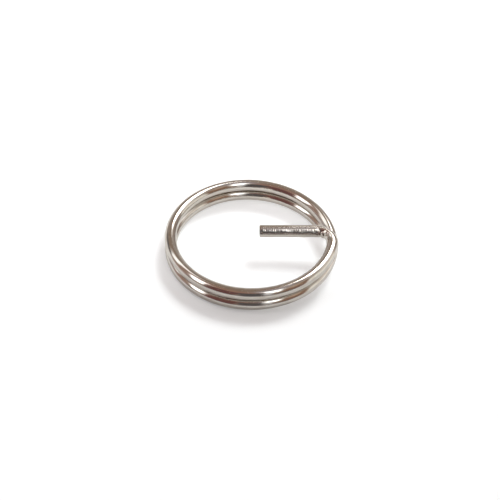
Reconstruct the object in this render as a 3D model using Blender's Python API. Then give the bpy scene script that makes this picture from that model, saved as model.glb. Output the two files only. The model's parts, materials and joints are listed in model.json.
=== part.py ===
"""Split key ring: two close turns of round spring wire, with the top end bent in as a straight leg.

Metres, +Z up. The origin is on the coil's axis, level with the ring's lowest point. +X runs from
the axis along the leg to the corner where the leg leaves the coil.

The wire starts at its lower cut end, under the leg and a little past +X. It climbs anticlockwise,
seen from above, for almost two turns, bends sharply inwards above its own start, and ends as a
level leg near the axis.

The real ring is one piece of wire, which opens by twisting. Here the wire is cut square across
into sections, at the front, left and back of each turn. A section turns about the wire's own
direction at the cut, so a round wire stays in line with itself however far the ring is opened.
"""

import math

import bpy
from mathutils import Vector

RING_DIAMETER = 0.025  # over the outside of the wire
WIRE_DIAMETER = 0.0017
PITCH = 0.0019  # rise of one turn, which leaves 0.2 mm between the turns
LOWER_END = 18  # degrees from +X round to the wire's lower cut end
BEND_RADIUS = 0.0022  # to the wire's centre, at the corner between the coil and the leg
BEND_LIFT = 0.00015  # how far the corner raises the leg above the coil's end
LEG_TIP_X = 0.0011  # the leg's cut end, just short of the coil's axis
CUT_GAP = 0.00004  # between one section of wire and the next

WIRE_RADIUS = WIRE_DIAMETER / 2
COIL_RADIUS = RING_DIAMETER / 2 - WIRE_RADIUS
CLIMB = PITCH / (math.tau * COIL_RADIUS)  # rise for each metre along the coil, seen from above

BEND_CENTRE_X = math.sqrt((COIL_RADIUS - BEND_RADIUS) ** 2 - BEND_RADIUS**2)
BEND_START = -math.degrees(math.asin(BEND_RADIUS / (COIL_RADIUS - BEND_RADIUS)))
BEND_END = 90
BEND_LENGTH = BEND_RADIUS * math.radians(BEND_END - BEND_START)

# Angles along the wire are in degrees, a turn is 360, and its first time at +X would be 0
COIL_END = 720 + BEND_START

# Sections of the coil from the lower cut end up: name, first angle, last angle, and the joint at
# the first angle, on which the section turns
COIL_SECTIONS = (
    ("lower_turn_end", LOWER_END, 90, None),
    ("lower_turn_back", 90, 180, "lower_back_twist"),
    ("lower_turn_front", 180, 270, "lower_left_twist"),
    ("middle_half_turn", 270, 450, "lower_front_twist"),
    ("upper_turn_back", 450, 540, "upper_back_twist"),
    ("upper_turn_front", 540, 630, "upper_left_twist"),
    ("upper_turn_end", 630, COIL_END, "upper_front_twist"),
)

COIL_STEP = 5  # degrees of coil to one straight facet
BEND_STEPS = 12
LEG_STEPS = 1
SQUARE_END = 0.02  # length of the short step, as a share of a facet, that squares a cut end
BEVEL_RESOLUTION = 6  # which gives 16 facets round the wire
ARROW_SIZE = 0.004

BRIGHT_NICKEL = (0.66, 0.62, 0.57, 1)
WORKED_NICKEL = (0.56, 0.52, 0.47, 1)
BRIGHT_ROUGHNESS = 0.16
WORKED_ROUGHNESS = 0.34


def coil_point(angle):
    """The wire's centre in the coil, at an angle along the wire."""
    turn = math.radians(angle)
    height = WIRE_RADIUS + PITCH * (angle - LOWER_END) / 360
    return Vector((COIL_RADIUS * math.cos(turn), COIL_RADIUS * math.sin(turn), height))


def coil_direction(angle):
    """The way the wire climbs in the coil, at an angle along the wire."""
    turn = math.radians(angle)
    return Vector((-math.sin(turn), math.cos(turn), CLIMB)).normalized()


def bend_point(plan_angle):
    """The wire's centre in the corner. It starts at the coil's slope and ends level."""
    turn = math.radians(plan_angle)
    share = (plan_angle - BEND_START) / (BEND_END - BEND_START)
    lead_in = CLIMB * BEND_LENGTH * share * (1 - share) ** 2
    lift = BEND_LIFT * share**2 * (3 - 2 * share)
    return Vector(
        (
            BEND_CENTRE_X + BEND_RADIUS * math.cos(turn),
            BEND_RADIUS * math.sin(turn) - BEND_RADIUS,
            coil_point(COIL_END).z + lead_in + lift,
        )
    )


def leg_point(x):
    """The wire's centre in the leg, which is level and points at the coil's axis."""
    return Vector((x, 0, bend_point(BEND_END).z))


def points_between(point_at, start, end, steps):
    """Points along a stretch of wire, with one more just inside each end to square the cut."""
    inner = [step / steps for step in range(1, steps)]
    inset = SQUARE_END / steps
    shares = [0, inset, *inner, 1 - inset, 1]
    return [point_at(start + (end - start) * share) for share in shares]


def plated(name, colour, roughness):
    """A polished metal for one section of wire."""
    material = bpy.data.materials.new(name + "_nickel")
    material.use_nodes = True
    shader = material.node_tree.nodes["Principled BSDF"]
    shader.inputs["Base Color"].default_value = colour
    shader.inputs["Metallic"].default_value = 1
    shader.inputs["Roughness"].default_value = roughness
    return material


def attach(child, parent):
    """Parent one object to another without moving it."""
    bpy.context.view_layer.update()
    child.parent = parent
    child.matrix_parent_inverse = parent.matrix_world.inverted()


def add_wire(ring, name, points, origin, parent, material):
    """One section of round wire through the given points, with its object's origin at origin."""
    curve = bpy.data.curves.new(name, "CURVE")
    curve.dimensions = "3D"
    curve.twist_mode = "Z_UP"
    curve.bevel_depth = WIRE_RADIUS
    curve.bevel_resolution = BEVEL_RESOLUTION
    curve.use_fill_caps = True
    spline = curve.splines.new("POLY")
    spline.points.add(len(points) - 1)
    for knot, point in zip(spline.points, points):
        knot.co = (*(point - origin), 1)
    curve.materials.append(material)
    wire = bpy.data.objects.new(name, curve)
    wire.location = origin
    ring.objects.link(wire)
    if parent:
        attach(wire, parent)
    return wire


def add_joint(ring, name, angle, parent):
    """An arrow along the wire at a cut. A positive turn about its own Z opens the ring."""
    joint = bpy.data.objects.new(name, None)
    joint.empty_display_type = "SINGLE_ARROW"
    joint.empty_display_size = ARROW_SIZE
    joint.location = coil_point(angle)
    joint.rotation_euler = coil_direction(angle).to_track_quat("Z", "Y").to_euler()
    ring.objects.link(joint)
    attach(joint, parent)
    return joint


def add_coil(ring):
    """The sections of the coil, each joined to the one below it. Returns the last one."""
    half_gap = math.degrees(CUT_GAP / 2 / COIL_RADIUS)
    below = None
    for name, start, end, joint_name in COIL_SECTIONS:
        first = start
        joint = None
        if joint_name:
            first = start + half_gap
            joint = add_joint(ring, joint_name, start, below)
        steps = round((end - start) / COIL_STEP)
        points = points_between(coil_point, first, end - half_gap, steps)
        bright = plated(name, BRIGHT_NICKEL, BRIGHT_ROUGHNESS)
        below = add_wire(ring, name, points, coil_point(start), joint, bright)
    return below


def add_leg(ring, coil_end):
    """The sharp corner above the wire's lower end, and the straight leg across the ring."""
    half_gap = math.degrees(CUT_GAP / 2 / BEND_RADIUS)
    corner = points_between(bend_point, BEND_START + half_gap, BEND_END - half_gap, BEND_STEPS)
    straight = points_between(leg_point, BEND_CENTRE_X - CUT_GAP / 2, LEG_TIP_X, LEG_STEPS)
    for name, points in (("leg_bend", corner), ("cross_leg", straight)):
        worked = plated(name, WORKED_NICKEL, WORKED_ROUGHNESS)
        add_wire(ring, name, points, coil_end.matrix_world.translation, coil_end, worked)


def clear_scene():
    for old in list(bpy.data.objects):
        bpy.data.objects.remove(old, do_unlink=True)


def build_ring():
    ring = bpy.data.collections.new("split_key_ring")
    bpy.context.scene.collection.children.link(ring)
    coil_end = add_coil(ring)
    bpy.context.view_layer.update()
    add_leg(ring, coil_end)


clear_scene()
build_ring()
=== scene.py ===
"""The looks of a split key ring: bright nickel-plated spring wire on a pale floor, under soft windows.

Metres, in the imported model's own frame: +Z up the coil's axis, +X towards the corner where the leg
leaves the coil, +Y towards the back. Each packed section of wire is built again as a fine tube
along the same centre line. The sections meet flush, so that the wire looks whole, and because each
joint turns them about the wire's own direction, they stay flush when the ring opens.
"""

import json
import math

import bpy
import numpy as np
from mathutils import Matrix, Vector, noise


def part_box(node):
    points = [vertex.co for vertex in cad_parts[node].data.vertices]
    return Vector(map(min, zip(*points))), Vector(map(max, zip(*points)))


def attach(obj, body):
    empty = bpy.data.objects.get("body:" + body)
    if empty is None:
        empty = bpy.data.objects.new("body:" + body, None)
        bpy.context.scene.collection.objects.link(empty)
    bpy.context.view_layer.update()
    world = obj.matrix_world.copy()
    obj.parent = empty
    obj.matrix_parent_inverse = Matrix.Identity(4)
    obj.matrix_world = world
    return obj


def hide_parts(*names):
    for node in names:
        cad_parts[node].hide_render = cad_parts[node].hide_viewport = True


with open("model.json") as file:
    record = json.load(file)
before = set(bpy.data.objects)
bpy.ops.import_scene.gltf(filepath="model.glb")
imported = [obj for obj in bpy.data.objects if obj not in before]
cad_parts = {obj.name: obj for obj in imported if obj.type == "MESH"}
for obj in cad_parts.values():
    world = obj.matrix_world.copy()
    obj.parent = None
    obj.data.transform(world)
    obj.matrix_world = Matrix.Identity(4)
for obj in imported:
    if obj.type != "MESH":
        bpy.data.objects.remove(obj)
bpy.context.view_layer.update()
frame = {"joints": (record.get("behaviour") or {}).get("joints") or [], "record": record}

MM = 0.001

# ---------------------------------------------------------------- sizes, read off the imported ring

pivots = {joint["name"]: Vector(joint["pos_m"]) for joint in frame["joints"]}
wire_ends = {mount["name"]: Vector(mount["pos_m"]) for mount in frame["record"]["mounts"]}
leg_low, leg_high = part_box("cross_leg")
bend_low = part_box("leg_bend")[0]

WIRE_RADIUS = (leg_high.z - leg_low.z) / 2
COIL_RADIUS = -pivots["upper_left_twist"].x
PITCH = pivots["upper_left_twist"].z - pivots["lower_left_twist"].z
LEG_TIP_X = wire_ends["leg_tip"].x
LEG_HEIGHT = (leg_high.z + leg_low.z) / 2

# The corner is an arc that leaves the coil's circle and arrives along the X axis
BEND_CENTRE_X = (leg_high.x + bend_low.x) / 2
BEND_RADIUS = (COIL_RADIUS**2 - BEND_CENTRE_X**2) / (2 * COIL_RADIUS)
BEND_START = -math.degrees(math.asin(BEND_RADIUS / (COIL_RADIUS - BEND_RADIUS)))
BEND_END = 90
BEND_LENGTH = BEND_RADIUS * math.radians(BEND_END - BEND_START)

# Angles along the coil are in degrees, and its first time at +X would be 0
LOWER_END = math.degrees(math.atan2(wire_ends["lower_wire_end"].y, wire_ends["lower_wire_end"].x))
COIL_END = 720 + BEND_START
CLIMB = PITCH / (math.tau * COIL_RADIUS)  # rise for each metre along the coil, seen from above
COIL_END_HEIGHT = WIRE_RADIUS + PITCH * (COIL_END - LOWER_END) / 360
BEND_LIFT = LEG_HEIGHT - COIL_END_HEIGHT

# ---------------------------------------------------------------- how the wire is meshed

COIL_STEP = 1.5  # degrees of coil to one ring of points
COIL_SIDES = 56
FINE_STEP = 0.04 * MM  # along the corner and the leg, where the tool marks are
FINE_SIDES = 96
SQUARE_END = 0.002 * MM  # a short last step, so that shading at a cut runs on into the next section
SHARP_ANGLE = math.radians(40)

# ---------------------------------------------------------------- how the wire was worked

GRIP_OVAL = 0.055  # share by which the bending tool squeezed the leg's section out of round
GRIP_LEAN = math.radians(46)  # the long way of that oval, from the back of the leg towards its top
GRIP_START = 0.9  # where the tool's marks begin, as a share of the corner's length, and over how much
GRIP_RAMP = 0.15

JAW_DEPTH = 0.027 * MM  # a row of slanting marks, which the tool's jaw left along the front of the leg
JAW_PITCH = 0.27 * MM
JAW_DRIFT = 4  # marks over which their spacing drifts
JAW_WIDTH = 0.13 * MM
JAW_PLACE = math.radians(129)  # round the leg from its back
JAW_STEADY = 0.85  # their least even share, and how much of the chatter they take up
JAW_UNSTEADY = 0.6

CHATTER_DEPTH = 0.004 * MM  # fainter marks, mostly round the front
CHATTER_LENGTH = 0.2 * MM
CHATTER_WIDTH = 0.55 * MM
CHATTER_BEHIND = 0.1  # the share of them at the back
WAVER_DEPTH = 0.03 * MM  # slow unevenness, where the tool squeezed it
WAVER_LENGTH = 1.3 * MM
WAVER_WIDTH = 0.6 * MM
FRONT_START = 0.45  # where the front begins, forward of the wire's middle in radii, and over how much
FRONT_RAMP = 0.35

BEND_FLATTENING = 0.30  # share by which the inside of the corner is pulled out towards the middle
FLATTENING_FOCUS = 1.5  # how closely it keeps to the inside
FLATTENING_PLACE = 0.5  # along the corner, with its spread and its first rise
FLATTENING_SPREAD = 0.26
FLATTENING_RISE = 0.2

FOLD_DEPTH = 0.1 * MM  # creases pressed up on the inside of the corner
FOLD_LENGTH = 1.2 * MM
FIRST_FOLD = -0.25 * MM
FOLD_SLANT = 1.1  # radians of lag from the inside of the corner to its top
FOLD_WANDER = 3.5  # radians, so that the creases are uneven
FOLDS_START = -0.02  # where they begin, forward of the wire's middle in radii, and over how much
FOLDS_RAMP = 0.75
FOLDS_PLACE = 0.68  # along the corner, with their spread
FOLDS_SPREAD = 0.33

NICK_DEPTH = 0.07 * MM  # a dent in the front of the leg, just behind its tip
NICK_LENGTH = 0.2 * MM
NICK_WIDTH = 0.13 * MM
NICK_PLACE = math.radians(150)

ROLL_OVER = 0.06 * MM  # how far the shears drew the wire's edge in at a cut end
ROLL_FAR_SIDE = 0.25  # the share of it on the side they came out
SHEAR_REACH = 0.1 * MM
SHEAR_STEPS = tuple(step * MM for step in (0.36, 0.26, 0.19, 0.14, 0.1, 0.07, 0.045, 0.025, 0.01, 0))
CUT_FACE_RADII = (0.985, 0.93, 0.8, 0.62, 0.42, 0.2, 0.04)  # rings of points on a torn face, from its rim in
TEAR_DEPTH = 0.05 * MM
TEAR_SLOPE = 0.6  # shares of that depth: the face's slope, how far in it lies, and its roughness
TEAR_INSET = 0.7
TEAR_ROUGHNESS = 0.6
TEAR_GRAIN = 0.28 * MM
UNDERSIDE = math.radians(-90)  # the way the shears came from

# ---------------------------------------------------------------- the wire's centre line


def coil_line(angles):
    """Points along the coil, and the way out from its axis, for angles along the wire."""
    turn = np.radians(angles)
    out = np.stack([np.cos(turn), np.sin(turn), np.zeros_like(turn)], axis=1)
    points = out * COIL_RADIUS
    points[:, 2] = WIRE_RADIUS + PITCH * (angles - LOWER_END) / 360
    return points, out


def bend_line(angles):
    """Points along the corner, and the way out of the bend, for plan angles round its centre."""
    turn = np.radians(angles)
    out = np.stack([np.cos(turn), np.sin(turn), np.zeros_like(turn)], axis=1)
    points = out * BEND_RADIUS + [BEND_CENTRE_X, -BEND_RADIUS, 0]
    share = (angles - BEND_START) / (BEND_END - BEND_START)
    lead_in = CLIMB * BEND_LENGTH * share * (1 - share) ** 2
    points[:, 2] = COIL_END_HEIGHT + lead_in + BEND_LIFT * share**2 * (3 - 2 * share)
    return points, out


def leg_line(distances):
    """Points along the leg, from the corner to its cut tip, and the way out, which is its back."""
    out = np.tile([0.0, 1.0, 0.0], (len(distances), 1))
    points = np.zeros((len(distances), 3))
    points[:, 0] = BEND_CENTRE_X - distances
    points[:, 2] = LEG_HEIGHT
    return points, out


def stations(start, end, steps, unit, sheared=False):
    """Where the rings of points go along a line, in its own unit. They crowd towards a sheared end."""
    travel = math.copysign(1 / unit, end - start)
    along = np.linspace(start, end, steps + 1)[1:-1]
    first = [start, start + SQUARE_END * travel]
    last = [end - SQUARE_END * travel, end]
    if sheared:
        along = along[np.abs(end - along) * unit > SHEAR_STEPS[0]]
        last = end - np.array(SHEAR_STEPS) * travel
    return np.concatenate([first, along, last])


def directions(line, along, unit):
    """The way of travel along the wire at each station."""
    nudge = math.copysign(0.001 * MM / unit, along[-1] - along[0])
    ahead = line(along + nudge)[0] - line(along - nudge)[0]
    return ahead / np.linalg.norm(ahead, axis=1)[:, None]


def smooth_step(value):
    """0 below 0, 1 above 1, and a smooth rise between them."""
    share = np.clip(value, 0, 1)
    return share**2 * (3 - 2 * share)


# ---------------------------------------------------------------- tubes


class Wire:
    """A length of tube in the making: rings of points, and where each point was in the straight wire."""

    def __init__(self, line, along, unit, length_before, sides):
        centres, out = line(along)
        ahead = directions(line, along, unit)
        above = np.cross(out, ahead)
        self.turn = np.arange(sides) * math.tau / sides
        self.centres, self.out, self.above, self.ahead = centres, out, above, ahead
        self.travel = math.copysign(1, along[-1] - along[0])
        self.length = length_before + (along - along[0]) * unit
        self.across = np.tile(np.cos(self.turn), (len(along), 1)) * WIRE_RADIUS
        self.upward = np.tile(np.sin(self.turn), (len(along), 1)) * WIRE_RADIUS
        self.onward = np.zeros_like(self.across)
        self.cut_rings = 0

    def places(self):
        """Each point's place in the ring."""
        return (
            self.centres[:, None]
            + self.across[..., None] * self.out[:, None]
            + self.upward[..., None] * self.above[:, None]
            + self.onward[..., None] * self.ahead[:, None]
        )

    def straight_places(self):
        """Each point's place in the wire before it was coiled, which its grain follows."""
        length = self.length[:, None] + self.onward * self.travel
        return np.stack([self.across, self.upward * self.travel, length], axis=-1)

    def press(self, depth):
        """Move the surface in towards the centre line by a depth at each point."""
        share = 1 - depth / WIRE_RADIUS
        self.across = self.across * share
        self.upward = self.upward * share

    def squeeze(self, amount):
        """Squash the round section into an oval, by an amount at each ring."""
        long_way = math.cos(GRIP_LEAN) * self.across + math.sin(GRIP_LEAN) * self.upward
        short_way = math.cos(GRIP_LEAN) * self.upward - math.sin(GRIP_LEAN) * self.across
        long_way = long_way * (1 + amount[:, None])
        short_way = short_way * (1 - amount[:, None])
        self.across = math.cos(GRIP_LEAN) * long_way - math.sin(GRIP_LEAN) * short_way
        self.upward = math.sin(GRIP_LEAN) * long_way + math.cos(GRIP_LEAN) * short_way

    def shear(self, lean):
        """Finish the last end as the shears leave it: drawn in on one side, with a torn face."""
        to_end = np.abs(self.length[-1] - self.length)
        entry = 0.5 + 0.5 * np.cos(self.turn - lean)
        drawn_in = ROLL_OVER * np.exp(-((to_end / SHEAR_REACH) ** 2))
        self.press(drawn_in[:, None] * (ROLL_FAR_SIDE + (1 - ROLL_FAR_SIDE) * entry[None]))
        for radius in CUT_FACE_RADII:
            self.cut_rings += 1
            for field in ("centres", "out", "above", "ahead", "length"):
                values = getattr(self, field)
                setattr(self, field, np.concatenate([values, values[-1:]]))
            rim = -self.cut_rings
            edge_across, edge_upward = self.across[rim], self.upward[rim]
            ring_across, ring_upward = edge_across * radius, edge_upward * radius
            ring_onward = self.torn(ring_across, ring_upward, lean)
            self.across = np.concatenate([self.across, ring_across[None]])
            self.upward = np.concatenate([self.upward, ring_upward[None]])
            self.onward = np.concatenate([self.onward, ring_onward[None]])

    def torn(self, across, upward, lean):
        """How far the torn face of a cut stands behind or in front of a square one."""
        far_side = -(np.cos(lean) * across + np.sin(lean) * upward) / WIRE_RADIUS
        places = [Vector((x, y, 0)) / TEAR_GRAIN for x, y in zip(across, upward)]
        rough = np.array([noise.noise(place) for place in places])
        return TEAR_DEPTH * (TEAR_SLOPE * far_side - TEAR_INSET) + TEAR_DEPTH * TEAR_ROUGHNESS * rough


def unevenness(wire, along, length, width):
    """Smooth random values over a wire's surface, in cells so long and so wide."""
    cells = np.broadcast_arrays(wire.across / width, wire.upward / width, along / length)
    cells = np.stack(cells, axis=-1)
    values = [noise.noise(Vector(cell)) for cell in cells.reshape(-1, 3)]
    return np.array(values).reshape(wire.across.shape)


def work_leg(wire, corner_start, leg_end):
    """Press into the corner and the leg what the bending tool left there."""
    along = (wire.length - corner_start)[:, None]
    share = along / BEND_LENGTH
    turn = wire.turn[None]
    forward = -np.cos(turn)
    wire.squeeze(GRIP_OVAL * smooth_step(share[:, 0]))

    chatter = unevenness(wire, along, CHATTER_LENGTH, CHATTER_WIDTH)
    waver = unevenness(wire, along, WAVER_LENGTH, WAVER_WIDTH)

    inside = np.clip(forward, 0, 1) ** FLATTENING_FOCUS
    middle = np.exp(-(((share - FLATTENING_PLACE) / FLATTENING_SPREAD) ** 2))
    middle = middle * smooth_step(share / FLATTENING_RISE)
    flattening = BEND_FLATTENING * WIRE_RADIUS * inside * middle

    reach = smooth_step((forward - FOLDS_START) / FOLDS_RAMP)
    creased = np.exp(-(((share - FOLDS_PLACE) / FOLDS_SPREAD) ** 4))
    phase = math.tau * (along - FIRST_FOLD) / FOLD_LENGTH
    waves = 0.5 + 0.5 * np.cos(phase + FOLD_SLANT * np.sin(turn) + FOLD_WANDER * waver)
    folds = FOLD_DEPTH * reach * creased * waves

    gripped = smooth_step((share - GRIP_START) / GRIP_RAMP)
    drift = [noise.noise(Vector((place / JAW_PITCH / JAW_DRIFT, 0, 0))) for place in along[:, 0]]
    tooth = 1 - np.mod(along / JAW_PITCH + np.array(drift)[:, None], 1)
    row = np.exp(-(((turn - JAW_PLACE) * WIRE_RADIUS / JAW_WIDTH) ** 4))
    jaw = JAW_DEPTH * row * tooth * (JAW_STEADY + JAW_UNSTEADY * chatter)

    front = smooth_step((forward - FRONT_START) / FRONT_RAMP)
    chattered = (CHATTER_BEHIND + (1 - CHATTER_BEHIND) * front) * CHATTER_DEPTH * (0.5 + chatter)
    wavered = front * WAVER_DEPTH * (0.5 + waver)
    marks = gripped * (jaw + (chattered + wavered))

    behind_tip = (leg_end - wire.length)[:, None] - NICK_LENGTH
    aside = (turn - NICK_PLACE) * WIRE_RADIUS
    nick = NICK_DEPTH * np.exp(-((behind_tip / NICK_LENGTH) ** 2) - (aside / NICK_WIDTH) ** 2)
    wire.press(flattening + folds + marks + nick)


def tube(name, wire, surface, cut_steel):
    """A closed mesh object from a Wire."""
    rings, sides = wire.across.shape
    places = wire.places().reshape(-1, 3)
    straight = wire.straight_places().reshape(-1, 3)
    faces = []
    for ring in range(rings - 1):
        for side in range(sides):
            here, beside = ring * sides + side, ring * sides + (side + 1) % sides
            faces.append((here, here + sides, beside + sides, beside))
    last = (rings - 1) * sides
    faces.append(tuple(range(sides)))
    faces.append(tuple(reversed(range(last, last + sides))))
    mesh = bpy.data.meshes.new(name)
    mesh.from_pydata(places.tolist(), [], faces)
    mesh.update()
    mesh.shade_smooth()
    mesh.set_sharp_from_angle(angle=SHARP_ANGLE)
    grain = mesh.attributes.new("straight_wire", "FLOAT_VECTOR", "POINT")
    grain.data.foreach_set("vector", straight.astype(np.float32).ravel())
    mesh.materials.append(surface)
    if wire.cut_rings:
        mesh.materials.append(cut_steel)
        torn = np.zeros(len(faces), np.int32)
        torn[(rings - 1 - wire.cut_rings) * sides : last] = 1
        torn[-1] = 1
        mesh.polygons.foreach_set("material_index", torn)
    piece = bpy.data.objects.new(name, mesh)
    bpy.context.scene.collection.objects.link(piece)
    return piece


# ---------------------------------------------------------------- node helpers


def link_or_set(tree, socket, value):
    """Feed a node's socket from another socket, or give it a plain value."""
    if isinstance(value, bpy.types.NodeSocket):
        tree.links.new(value, socket)
    elif isinstance(value, Vector):
        socket.default_value = value
    elif isinstance(value, tuple):
        socket.default_value = value if len(socket.default_value) == len(value) else (*value, 1)
    else:
        socket.default_value = value


def calculate(tree, operation, *values):
    """A Math node's result."""
    node = tree.nodes.new("ShaderNodeMath")
    node.operation = operation
    for socket, value in zip(node.inputs, values):
        link_or_set(tree, socket, value)
    return node.outputs[0]


def calculate_vector(tree, operation, *values):
    """A Vector Math node's result, which is a number for a dot product."""
    node = tree.nodes.new("ShaderNodeVectorMath")
    node.operation = operation
    for socket, value in zip(node.inputs, values):
        link_or_set(tree, socket, value)
    return node.outputs["Value" if operation == "DOT_PRODUCT" else "Vector"]


def ramp(tree, value, from_min, from_max, to_min=0.0, to_max=1.0):
    """A value taken smoothly from one range to another."""
    node = tree.nodes.new("ShaderNodeMapRange")
    node.interpolation_type = "SMOOTHSTEP"
    for socket, number in zip(node.inputs, (value, from_min, from_max, to_min, to_max)):
        link_or_set(tree, socket, number)
    return node.outputs[0]


def blend_colour(tree, share, first, second):
    """A colour between two, by a share from 0 to 1."""
    node = tree.nodes.new("ShaderNodeMix")
    node.data_type = "RGBA"
    link_or_set(tree, node.inputs["Factor"], share)
    link_or_set(tree, node.inputs[6], first)
    link_or_set(tree, node.inputs[7], second)
    return node.outputs[2]


def speckle(tree, vector, detail=2.0, roughness=0.5):
    """A noise value, about 0.5 on average, that changes over about one unit of the vector."""
    node = tree.nodes.new("ShaderNodeTexNoise")
    node.inputs["Scale"].default_value = 1
    node.inputs["Detail"].default_value = detail
    node.inputs["Roughness"].default_value = roughness
    tree.links.new(vector, node.inputs["Vector"])
    return node.outputs["Fac"]


def bumped(tree, height, distance, below=None):
    """A surface raised by distance where height is 1, on top of the bumps below it."""
    node = tree.nodes.new("ShaderNodeBump")
    link_or_set(tree, node.inputs["Height"], height)
    node.inputs["Distance"].default_value = distance
    if below:
        tree.links.new(below, node.inputs["Normal"])
    return node.outputs["Normal"]


def empty_material(name):
    """A material with only its output and a Principled shader."""
    material = bpy.data.materials.new(name)
    material.use_nodes = True
    return material, material.node_tree, material.node_tree.nodes["Principled BSDF"]


# ---------------------------------------------------------------- nickel

NICKEL = (0.60, 0.56, 0.51)
WARM_NICKEL = (0.56, 0.51, 0.45)
DARK_STEEL = (0.16, 0.145, 0.14)
LIGHT_STEEL = (0.34, 0.32, 0.30)

# The width and length of each kind of cell in the wire's surface
DRAWN_LINES = (0.035 * MM, 1.6 * MM)
SLOW_WAVES = (0.9 * MM, 2.6 * MM)
PLATING_GRAIN = (0.09 * MM, 0.28 * MM)
TONE_PATCHES = (0.7 * MM, 1.4 * MM)
PITS = (0.07 * MM, 0.1 * MM)
TORN_GRAIN = (0.06 * MM, 0.06 * MM)

WAVE_DEPTH = 0.010 * MM
PIT_DEPTH = 0.002 * MM
PIT_ROUGHNESS = 0.25
TORN_GRAIN_DEPTH = 0.012 * MM
TORN_ROUGHNESS = 0.48

# Roughness, depth of the drawn lines and depth of the grain
BRIGHT_FINISH = (0.11, 0.0006 * MM, 0.0004 * MM)
WORKED_FINISH = (0.15, 0.0012 * MM, 0.0015 * MM)


def grain_vector(tree, across, along):
    """The straight wire's coordinates, in cells of the given width and length."""
    place = tree.nodes.new("ShaderNodeAttribute")
    place.attribute_name = "straight_wire"
    cells = Vector((1 / across, 1 / across, 1 / along))
    return calculate_vector(tree, "MULTIPLY", place.outputs["Vector"], cells)


def nickel(name, roughness, line_depth, grain_depth):
    """Plated wire: fine lines from drawing, a slight waviness, small pits and uneven tone."""
    material, tree, shader = empty_material(name)
    lines = speckle(tree, grain_vector(tree, *DRAWN_LINES), detail=3)
    waves = speckle(tree, grain_vector(tree, *SLOW_WAVES), detail=1)
    grain = speckle(tree, grain_vector(tree, *PLATING_GRAIN), detail=4, roughness=0.65)
    patches = speckle(tree, grain_vector(tree, *TONE_PATCHES), detail=3)
    pits = ramp(tree, speckle(tree, grain_vector(tree, *PITS)), 0.30, 0.24)

    surface = bumped(tree, waves, WAVE_DEPTH)
    surface = bumped(tree, lines, line_depth, surface)
    surface = bumped(tree, grain, grain_depth, surface)
    surface = bumped(tree, pits, -PIT_DEPTH, surface)

    tone = blend_colour(tree, ramp(tree, patches, 0.42, 0.72), NICKEL, WARM_NICKEL)
    shader.inputs["Metallic"].default_value = 1
    link_or_set(tree, shader.inputs["Base Color"], tone)
    worn = ramp(tree, patches, 0.35, 0.65, roughness * 0.8, roughness * 1.25)
    pitted = calculate(tree, "MULTIPLY_ADD", pits, PIT_ROUGHNESS, worn)
    link_or_set(tree, shader.inputs["Roughness"], pitted)
    tree.links.new(surface, shader.inputs["Normal"])
    return material


def cut_steel():
    """The torn grey steel of a sheared end, which has no plating."""
    material, tree, shader = empty_material("cut_steel")
    grain = speckle(tree, grain_vector(tree, *TORN_GRAIN), detail=4, roughness=0.65)
    tone = blend_colour(tree, ramp(tree, grain, 0.35, 0.65), DARK_STEEL, LIGHT_STEEL)
    shader.inputs["Metallic"].default_value = 1
    shader.inputs["Roughness"].default_value = TORN_ROUGHNESS
    link_or_set(tree, shader.inputs["Base Color"], tone)
    tree.links.new(bumped(tree, grain, TORN_GRAIN_DEPTH), shader.inputs["Normal"])
    return material


# ---------------------------------------------------------------- sections of the coil


def add_section(name, wire, surface, steel):
    """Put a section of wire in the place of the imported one, on the same body."""
    piece = tube(name + "_wire", wire, surface, steel)
    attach(piece, body_with[name])
    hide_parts(name)


body_with = {node: body for body, nodes in frame["record"]["behaviour"]["bodies"].items() for node in nodes}

COIL_SECTIONS = (
    ("lower_turn_end", LOWER_END, 90),
    ("lower_turn_back", 90, 180),
    ("lower_turn_front", 180, 270),
    ("middle_half_turn", 270, 450),
    ("upper_turn_back", 450, 540),
    ("upper_turn_front", 540, 630),
    ("upper_turn_end", 630, COIL_END),
)


def build_coil(bright, steel):
    """The sections of the coil. The lowest one is laid from its back to its sheared end."""
    unit = COIL_RADIUS * math.radians(1) * math.hypot(1, CLIMB)
    for name, start, end in COIL_SECTIONS:
        steps = round((end - start) / COIL_STEP)
        sheared = start == LOWER_END
        if sheared:
            start, end = end, start
        along = stations(start, end, steps, unit, sheared)
        wire = Wire(coil_line, along, unit, start * unit, COIL_SIDES)
        if sheared:
            wire.shear(UNDERSIDE)
        add_section(name, wire, bright, steel)
    return COIL_END * unit


def build_leg(worked, steel, corner_start):
    """The corner and the straight leg, whose tip is sheared."""
    unit = BEND_RADIUS * math.radians(1)
    along = stations(BEND_START, BEND_END, round(BEND_LENGTH / FINE_STEP), unit)
    corner = Wire(bend_line, along, unit, corner_start, FINE_SIDES)
    leg_start, leg_length = corner_start + BEND_LENGTH, BEND_CENTRE_X - LEG_TIP_X
    along = stations(0, leg_length, round(leg_length / FINE_STEP), 1, sheared=True)
    leg = Wire(leg_line, along, 1, leg_start, FINE_SIDES)
    for wire in (corner, leg):
        work_leg(wire, corner_start, leg_start + leg_length)
    leg.shear(UNDERSIDE)
    add_section("leg_bend", corner, worked, steel)
    add_section("cross_leg", leg, worked, steel)


def build_ring():
    """The whole wire, from its lower cut end to the tip of the leg."""
    bright = nickel("bright_nickel", *BRIGHT_FINISH)
    worked = nickel("worked_nickel", *WORKED_FINISH)
    steel = cut_steel()
    corner_start = build_coil(bright, steel)
    build_leg(worked, steel, corner_start)


# ---------------------------------------------------------------- floor


FLOOR_SIZE = 3
FLOOR_COLOUR = (0.69, 0.71, 0.715)
FLOOR_ROUGHNESS = 0.7
FLOOR_SHINE = 0.2
PAINTED_FLOOR_GLOW = 0.28  # how much painted glow the back of the floor gives off, which lightens the shadows there and fades out towards the front
GLOW_FRONT = -1.5 * COIL_RADIUS
GLOW_BACK = 0.9 * COIL_RADIUS
# painted glow in the floor that only the camera sees, on top of the glow above
PAINTED_GLOW_TO_CAMERA = 0.2


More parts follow.
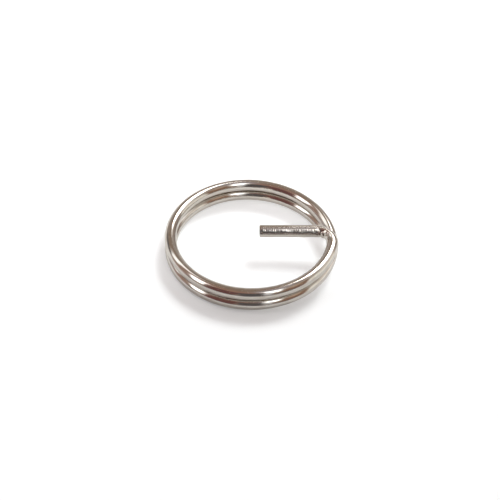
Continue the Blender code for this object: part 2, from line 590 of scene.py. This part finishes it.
def add_floor():
    """A pale floor, tilted to touch the lower cut end and the underside opposite, as the ring rests."""
    mesh = bpy.data.meshes.new("floor")
    half = FLOOR_SIZE / 2
    turn = math.radians(LOWER_END)
    slope_out, slope_aside = PITCH / (4 * COIL_RADIUS), PITCH / (math.tau * COIL_RADIUS)
    points = []
    for x, y in ((-half, -half), (half, -half), (half, half), (-half, half)):
        out = x * math.cos(turn) + y * math.sin(turn)
        aside = y * math.cos(turn) - x * math.sin(turn)
        points.append((x, y, PITCH / 4 - slope_out * out - slope_aside * aside))
    mesh.from_pydata(points, [], [(0, 1, 2, 3)])
    material, tree, shader = empty_material("pale_floor")
    shader.inputs["Base Color"].default_value = (*FLOOR_COLOUR, 1)
    shader.inputs["Roughness"].default_value = FLOOR_ROUGHNESS
    shader.inputs["Specular IOR Level"].default_value = FLOOR_SHINE
    # Painted glow: the floor gives off light, more towards the back, though it is no lamp
    place = tree.nodes.new("ShaderNodeTexCoord").outputs["Object"]
    backward = calculate_vector(tree, "DOT_PRODUCT", place, Vector((0, 1, 0)))
    shader.inputs["Emission Color"].default_value = (1, 1, 1, 1)
    painted_glow = ramp(tree, backward, GLOW_FRONT, GLOW_BACK, 0, PAINTED_FLOOR_GLOW)
    # Painted glow that only the camera sees, so the floor looks whiter than the metal mirrors it
    to_camera = tree.nodes.new("ShaderNodeLightPath").outputs["Is Camera Ray"]
    painted_glow = calculate(tree, "MULTIPLY_ADD", to_camera, PAINTED_GLOW_TO_CAMERA, painted_glow)
    link_or_set(tree, shader.inputs["Emission Strength"], painted_glow)
    mesh.materials.append(material)
    floor = bpy.data.objects.new("floor", mesh)
    bpy.context.scene.collection.objects.link(floor)


# ---------------------------------------------------------------- room


def heading(azimuth, elevation):
    """A direction by its azimuth from +Y towards +X and its elevation, in degrees."""
    turn, rise = math.radians(azimuth), math.radians(elevation)
    level = math.cos(rise)
    return Vector((math.sin(turn) * level, math.cos(turn) * level, math.sin(rise)))


def window_mask(tree, ray, azimuth, elevation, width, height, lean, softness):
    """1 inside a rectangle of the surroundings and 0 outside, in degrees. It leans right at the top."""
    centre = heading(azimuth, elevation)
    level = heading(azimuth + 90, 0)
    upright = level.cross(centre)
    turn = math.radians(lean)
    side = level * math.cos(turn) - upright * math.sin(turn)
    top = level * math.sin(turn) + upright * math.cos(turn)
    ahead = calculate_vector(tree, "DOT_PRODUCT", ray, centre)
    in_front = calculate(tree, "MAXIMUM", ahead, 0.001)
    mask = calculate(tree, "GREATER_THAN", ahead, 0.0)
    for axis, extent in ((side, width), (top, height)):
        offset = calculate_vector(tree, "DOT_PRODUCT", ray, axis)
        slope = calculate(tree, "ABSOLUTE", calculate(tree, "DIVIDE", offset, in_front))
        inner = math.tan(math.radians(max(extent - softness, 0) / 2))
        outer = math.tan(math.radians((extent + softness) / 2))
        mask = calculate(tree, "MULTIPLY", mask, ramp(tree, slope, outer, inner))
    return mask


ROOM_LOW = (0.52, 0.48, 0.48)
ROOM_HIGH = (0.33, 0.25, 0.20)
BACKDROP = (1.0, 1.0, 1.0)

# What stands round the ring, from the walls to the lights: azimuth, elevation, width, height, lean and
# softness of the edge in degrees, and the light it gives off
SURROUNDINGS = {
    "ceiling_left": (-125, 66, 90, 36, 0, 16, (0.40, 0.25, 0.20)),
    "ceiling_right": (95, 78, 50, 20, 0, 12, (0.46, 0.42, 0.45)),
    "back_wall": (0, 24, 60, 26, 0, 12, (0.42, 0.37, 0.34)),
    "back_table": (-10, 2, 70, 16, 0, 8, (1.0, 0.97, 0.94)),
    "rear_right_floor": (45, -2, 34, 24, 0, 10, (0.37, 0.33, 0.31)),
    "left_wall": (-88, 6, 50, 30, 0, 10, (0.55, 0.43, 0.42)),
    "left_corner": (-104, 10, 12, 26, 0, 8, (0.25, 0.21, 0.21)),
    "left_table": (-62, 0, 24, 18, 0, 8, (0.84, 0.86, 0.90)),
    "left_gap": (-83, 34, 16, 34, 20, 8, (0.38, 0.265, 0.215)),
    "right_curtain": (86, 26, 34, 34, 0, 12, (0.87, 0.84, 0.79)),
    "right_table": (86, 2, 34, 24, 0, 8, (1.33, 1.30, 1.25)),
    "right_wall": (110, 16, 22, 34, 0, 8, (1.18, 1.18, 1.13)),
    "right_shelf": (106, 48, 30, 28, 0, 8, (0.55, 0.51, 0.47)),
    "cupboard": (130, 20, 30, 70, -14, 8, (0.305, 0.19, 0.14)),
    "lit_cupboard": (123, 46, 12, 22, 0, 8, (0.60, 0.45, 0.34)),
    "reddish_cupboard": (-139, 30, 34, 56, 0, 8, (0.185, 0.088, 0.084)),
    "photographer": (182, 34, 28, 48, 0, 6, (0.12, 0.113, 0.115)),
    "front_table": (182, 2, 110, 20, 0, 8, (0.17, 0.14, 0.155)),
    "dark_patch": (-50, 22, 24, 14, 0, 6, (0.155, 0.15, 0.15)),
    "left_window": (-100, 42, 15, 44, 30, 5, (3.0, 3.0, 3.1)),
    "rear_left_window": (-49, 44, 12, 42, 48, 6, (1.9, 1.95, 2.0)),
    "front_right_window": (150, 58, 13, 34, -12, 5, (3.2, 3.3, 3.4)),
    "front_right_sill": (163, 30, 9, 34, 0, 5, (0.76, 0.79, 0.83)),
    "key_window": (48, 46, 34, 30, 0, 10, (1.6, 1.6, 1.63)),
    "key_light": (33, 50, 20, 18, 0, 8, (18.3, 18.7, 18.8)),
}


def build_room():
    """Surroundings for the metal to mirror, and a plain backdrop for the camera."""
    world = bpy.data.worlds.new("room")
    bpy.context.scene.world = world
    world.use_nodes = True
    tree = world.node_tree
    background = tree.nodes["Background"]
    ray = tree.nodes.new("ShaderNodeTexCoord").outputs["Generated"]
    up = calculate_vector(tree, "DOT_PRODUCT", ray, Vector((0, 0, 1)))
    colour = blend_colour(tree, ramp(tree, up, -0.1, 0.5), ROOM_LOW, ROOM_HIGH)
    for *shape, light in SURROUNDINGS.values():
        colour = blend_colour(tree, window_mask(tree, ray, *shape), colour, light)
    to_camera = tree.nodes.new("ShaderNodeLightPath").outputs["Is Camera Ray"]
    colour = blend_colour(tree, to_camera, colour, BACKDROP)
    tree.links.new(colour, background.inputs["Color"])


# ---------------------------------------------------------------- camera


CAMERA_AZIMUTH = math.radians(-3.13)
CAMERA_ELEVATION = math.radians(44.17)
CAMERA_ROLL = math.radians(2.18)
CAMERA_DISTANCE = 12.2 * COIL_RADIUS
CAMERA_LENS = 71.5
CAMERA_SENSOR = 36
CAMERA_SHIFT = (-0.0039, -0.0366)
AIM_ABOVE_COIL = 0.046 * MM


def add_camera():
    """A camera in front of the ring and above it, turned slightly to the left."""
    aim = Vector((0, 0, COIL_END_HEIGHT + AIM_ABOVE_COIL))
    level = math.cos(CAMERA_ELEVATION)
    aside, behind = math.sin(CAMERA_AZIMUTH) * level, -math.cos(CAMERA_AZIMUTH) * level
    back = Vector((aside, behind, math.sin(CAMERA_ELEVATION)))
    turn = back.to_track_quat("Z", "Y") @ Matrix.Rotation(CAMERA_ROLL, 3, "Z").to_quaternion()
    data = bpy.data.cameras.new("camera")
    data.lens = CAMERA_LENS
    data.sensor_width = CAMERA_SENSOR
    data.shift_x, data.shift_y = CAMERA_SHIFT
    data.clip_start = 0.01
    data.clip_end = 10
    camera = bpy.data.objects.new("camera", data)
    camera.rotation_mode = "QUATERNION"
    camera.location = aim + back * CAMERA_DISTANCE
    camera.rotation_quaternion = turn
    bpy.context.scene.collection.objects.link(camera)
    bpy.context.scene.camera = camera


build_ring()
add_floor()
build_room()
add_camera()
bpy.context.scene.view_settings.view_transform = "Standard"
